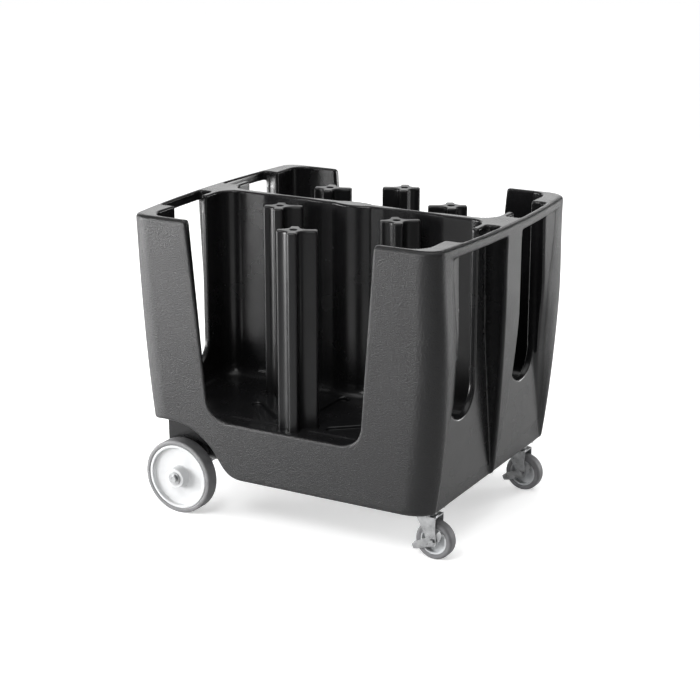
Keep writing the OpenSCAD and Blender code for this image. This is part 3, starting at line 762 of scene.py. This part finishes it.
body_black = moulded_black()
black_plastic = tower_black()
tyre_rubber = plain("tyre_rubber", (0.12, 0.12, 0.123), (0.16, 0.16, 0.163), 0.62, **RUBBER)
tread_rubber = plain("tread_rubber", (0.11, 0.11, 0.115), (0.16, 0.16, 0.165), 0.60, **RUBBER)
hub_plastic = plain("hub_plastic", (0.44, 0.445, 0.45), (0.49, 0.495, 0.50), 0.38, **PLASTIC)
core_plastic = plain("core_plastic", (0.42, 0.43, 0.44), (0.52, 0.53, 0.54), 0.40, **PLASTIC)
bush_plastic = plain("bush_plastic", (0.030, 0.030, 0.032), (0.050, 0.050, 0.052), 0.45, **PLASTIC)
zinc = plain("zinc_plate", (0.30, 0.305, 0.31), (0.50, 0.505, 0.51), 0.32, **ZINC)
steel = plain("axle_steel", (0.48, 0.48, 0.49), (0.62, 0.62, 0.63), 0.26, **STEEL)
brass = plain("brass_insert", (0.55, 0.40, 0.16), (0.72, 0.55, 0.25), 0.32, **BRASS)


def finish_piece(obj, material, body, replaced):
    """Dresses a piece and puts it on its body in the place of a CAD node."""
    obj.data.materials.clear()
    obj.data.materials.append(material)
    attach(obj, body)
    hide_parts(replaced)


# Body and towers

body_mesh = field_mesh("moulded_body", body_field, BODY_LOW, BODY_HIGH, BODY_VOXEL)
points = np.empty(len(body_mesh.vertices) * 3)
body_mesh.vertices.foreach_get("co", points)
x, y, z = points.reshape(-1, 3).T
depth = -skin(np.abs(x), np.abs(y), z)
outside = body_mesh.attributes.new("outside", "FLOAT", "POINT")
outside.data.foreach_set("value", (1 - share(depth, SKIN_FULL, SKIN_NONE)).astype(np.float32))
finish_piece(link("moulded_body", body_mesh), body_black, "chassis", "body_shell")

tower_mesh = field_mesh("tower", tower_field, (-SHORT_ARM, -SHORT_ARM, TOWER_FOOT),
                        (LONG_ARM, SHORT_ARM, TOWER_TOP), TOWER_VOXEL, TOWER_ADAPTIVITY)
for node_name, (axis_x, axis_y, degrees) in TOWERS.items():
    piece = link(node_name + "_piece", tower_mesh)
    piece.location = (axis_x, axis_y, 0)
    piece.rotation_euler = (0, 0, math.radians(degrees))
    finish_piece(piece, black_plastic, nodes[node_name]["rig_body"], node_name)

# Large wheels

for side, word in ((-1, "front"), (1, "rear")):
    tyre = lathe(word + "_tyre_piece", rounded(TYRE_PROFILE), side)
    finish_piece(tyre, tyre_rubber, word + "_wheel", word + "_tyre")
    hub = lathe(word + "_hub_piece", rounded(HUB_PROFILE), side)
    finish_piece(hub, hub_plastic, word + "_wheel", word + "_hub")

# Parts that keep their CAD shapes. What isn't named here is zinc plated

LOOKS = {"caster_tread": tread_rubber, "caster_core": core_plastic, "hub_bush": bush_plastic,
         "caster_inserts": brass, "caster_bush": brass, "wheel_axle": steel}
LEFT_AS_THEY_ARE = ("swivel_balls", "caster_tread")
for name, obj in nodes.items():
    if obj.hide_render:
        continue
    kind = name.replace("front_", "").replace("rear_", "")
    obj.data.materials.clear()
    obj.data.materials.append(LOOKS.get(kind, zinc))
    if kind not in LEFT_AS_THEY_ARE:
        round_edges(obj)

# Floor, lights and camera

FLOOR_HALF = 40
FLOOR_DARK = (0.88, 0.88, 0.88)
FLOOR_LIGHT = (0.90, 0.90, 0.90)
FLOOR_CLOUD = (3, 3)
FLOOR_ROUGHNESS = 0.7
# Light that the floor gives off for the camera alone, so that it looks white
FLOOR_GLOW = 0.47
OVERHEAD = 1.6
OVERHEAD_DEGREES = 70
# The backdrop is white for the camera, and this bright for everything else
FILL = 0.12
# Name, place, target, width, height, watts and spread in degrees
SOFTBOXES = [
    ("key", (-3.2, -1.9, 0.65), (0, 0, 0.6), 3.0, 1.2, 118, 110),
    ("side", (2.3, 3.2, 0.7), (0.45, 0, 0.6), 1.2, 1.2, 62, 180),
    ("front", (0.3, -3.0, 3.0), (0, 0, 0.5), 1.6, 1.0, 60, 180),
    ("back", (-1.9, 3.3, 1.9), (0, 0, 0.7), 4.4, 1.8, 38, 180),
]

# The camera stands where the photograph was taken from
CAMERA_TURN = math.radians(29.3)
CAMERA_RAISE = math.radians(17.0)
CAMERA_DISTANCE = 4.72
CAMERA_TARGET = Vector((-0.0125, 0.0, 0.4102))
CAMERA_LENS_MM = 91.13
CAMERA_SENSOR_MM = 36
CAMERA_FAR = 200


def softbox(name, place, target, width, height, watts, spread_degrees):
    light = bpy.data.lights.new(name, "AREA")
    light.shape = "RECTANGLE"
    light.size = width
    light.size_y = height
    light.energy = watts
    light.spread = math.radians(spread_degrees)
    obj = link(name, light)
    obj.location = place
    aim = Vector(target) - Vector(place)
    obj.rotation_euler = aim.to_track_quat("-Z", "Y").to_euler()
    obj.visible_camera = False


def make_floor():
    mesh = bpy.data.meshes.new("floor")
    corners = [(-1, -1), (1, -1), (1, 1), (-1, 1)]
    mesh.from_pydata([(FLOOR_HALF * a, FLOOR_HALF * b, 0) for a, b in corners], [], [(0, 1, 2, 3)])
    material, tree, bsdf = new_material("pale_floor")
    colour = tint(tree, noise(tree, *FLOOR_CLOUD), FLOOR_DARK, FLOOR_LIGHT)
    tree.links.new(colour, bsdf.inputs["Base Color"])
    bsdf.inputs["Roughness"].default_value = FLOOR_ROUGHNESS
    bsdf.inputs["Emission Color"].default_value = (1, 1, 1, 1)
    tree.links.new(for_camera(tree, 0, FLOOR_GLOW), bsdf.inputs["Emission Strength"])
    mesh.materials.append(material)
    link("floor", mesh)


def make_lights():
    for lamp in SOFTBOXES:
        softbox(*lamp)
    overhead = bpy.data.lights.new("overhead", "SUN")
    overhead.energy = OVERHEAD
    overhead.angle = math.radians(OVERHEAD_DEGREES)
    link("overhead", overhead)


def make_backdrop():
    world = bpy.data.worlds.new("studio")
    bpy.context.scene.world = world
    world.use_nodes = True
    tree = world.node_tree
    backdrop = tree.nodes["Background"]
    backdrop.inputs["Color"].default_value = (1, 1, 1, 1)
    tree.links.new(for_camera(tree, FILL, 1), backdrop.inputs["Strength"])
    bpy.context.scene.view_settings.view_transform = "Standard"


def make_camera():
    flat = math.cos(CAMERA_RAISE)
    back = Vector((math.sin(CAMERA_TURN) * flat, -math.cos(CAMERA_TURN) * flat,
                   math.sin(CAMERA_RAISE)))
    lens = bpy.data.cameras.new("camera")
    lens.lens = CAMERA_LENS_MM
    lens.sensor_width = CAMERA_SENSOR_MM
    lens.clip_end = CAMERA_FAR
    camera = link("camera", lens)
    camera.location = CAMERA_TARGET + back * CAMERA_DISTANCE
    camera.rotation_euler = back.to_track_quat("Z", "Y").to_euler()
    bpy.context.scene.camera = camera


make_floor()
make_lights()
make_backdrop()
make_camera()
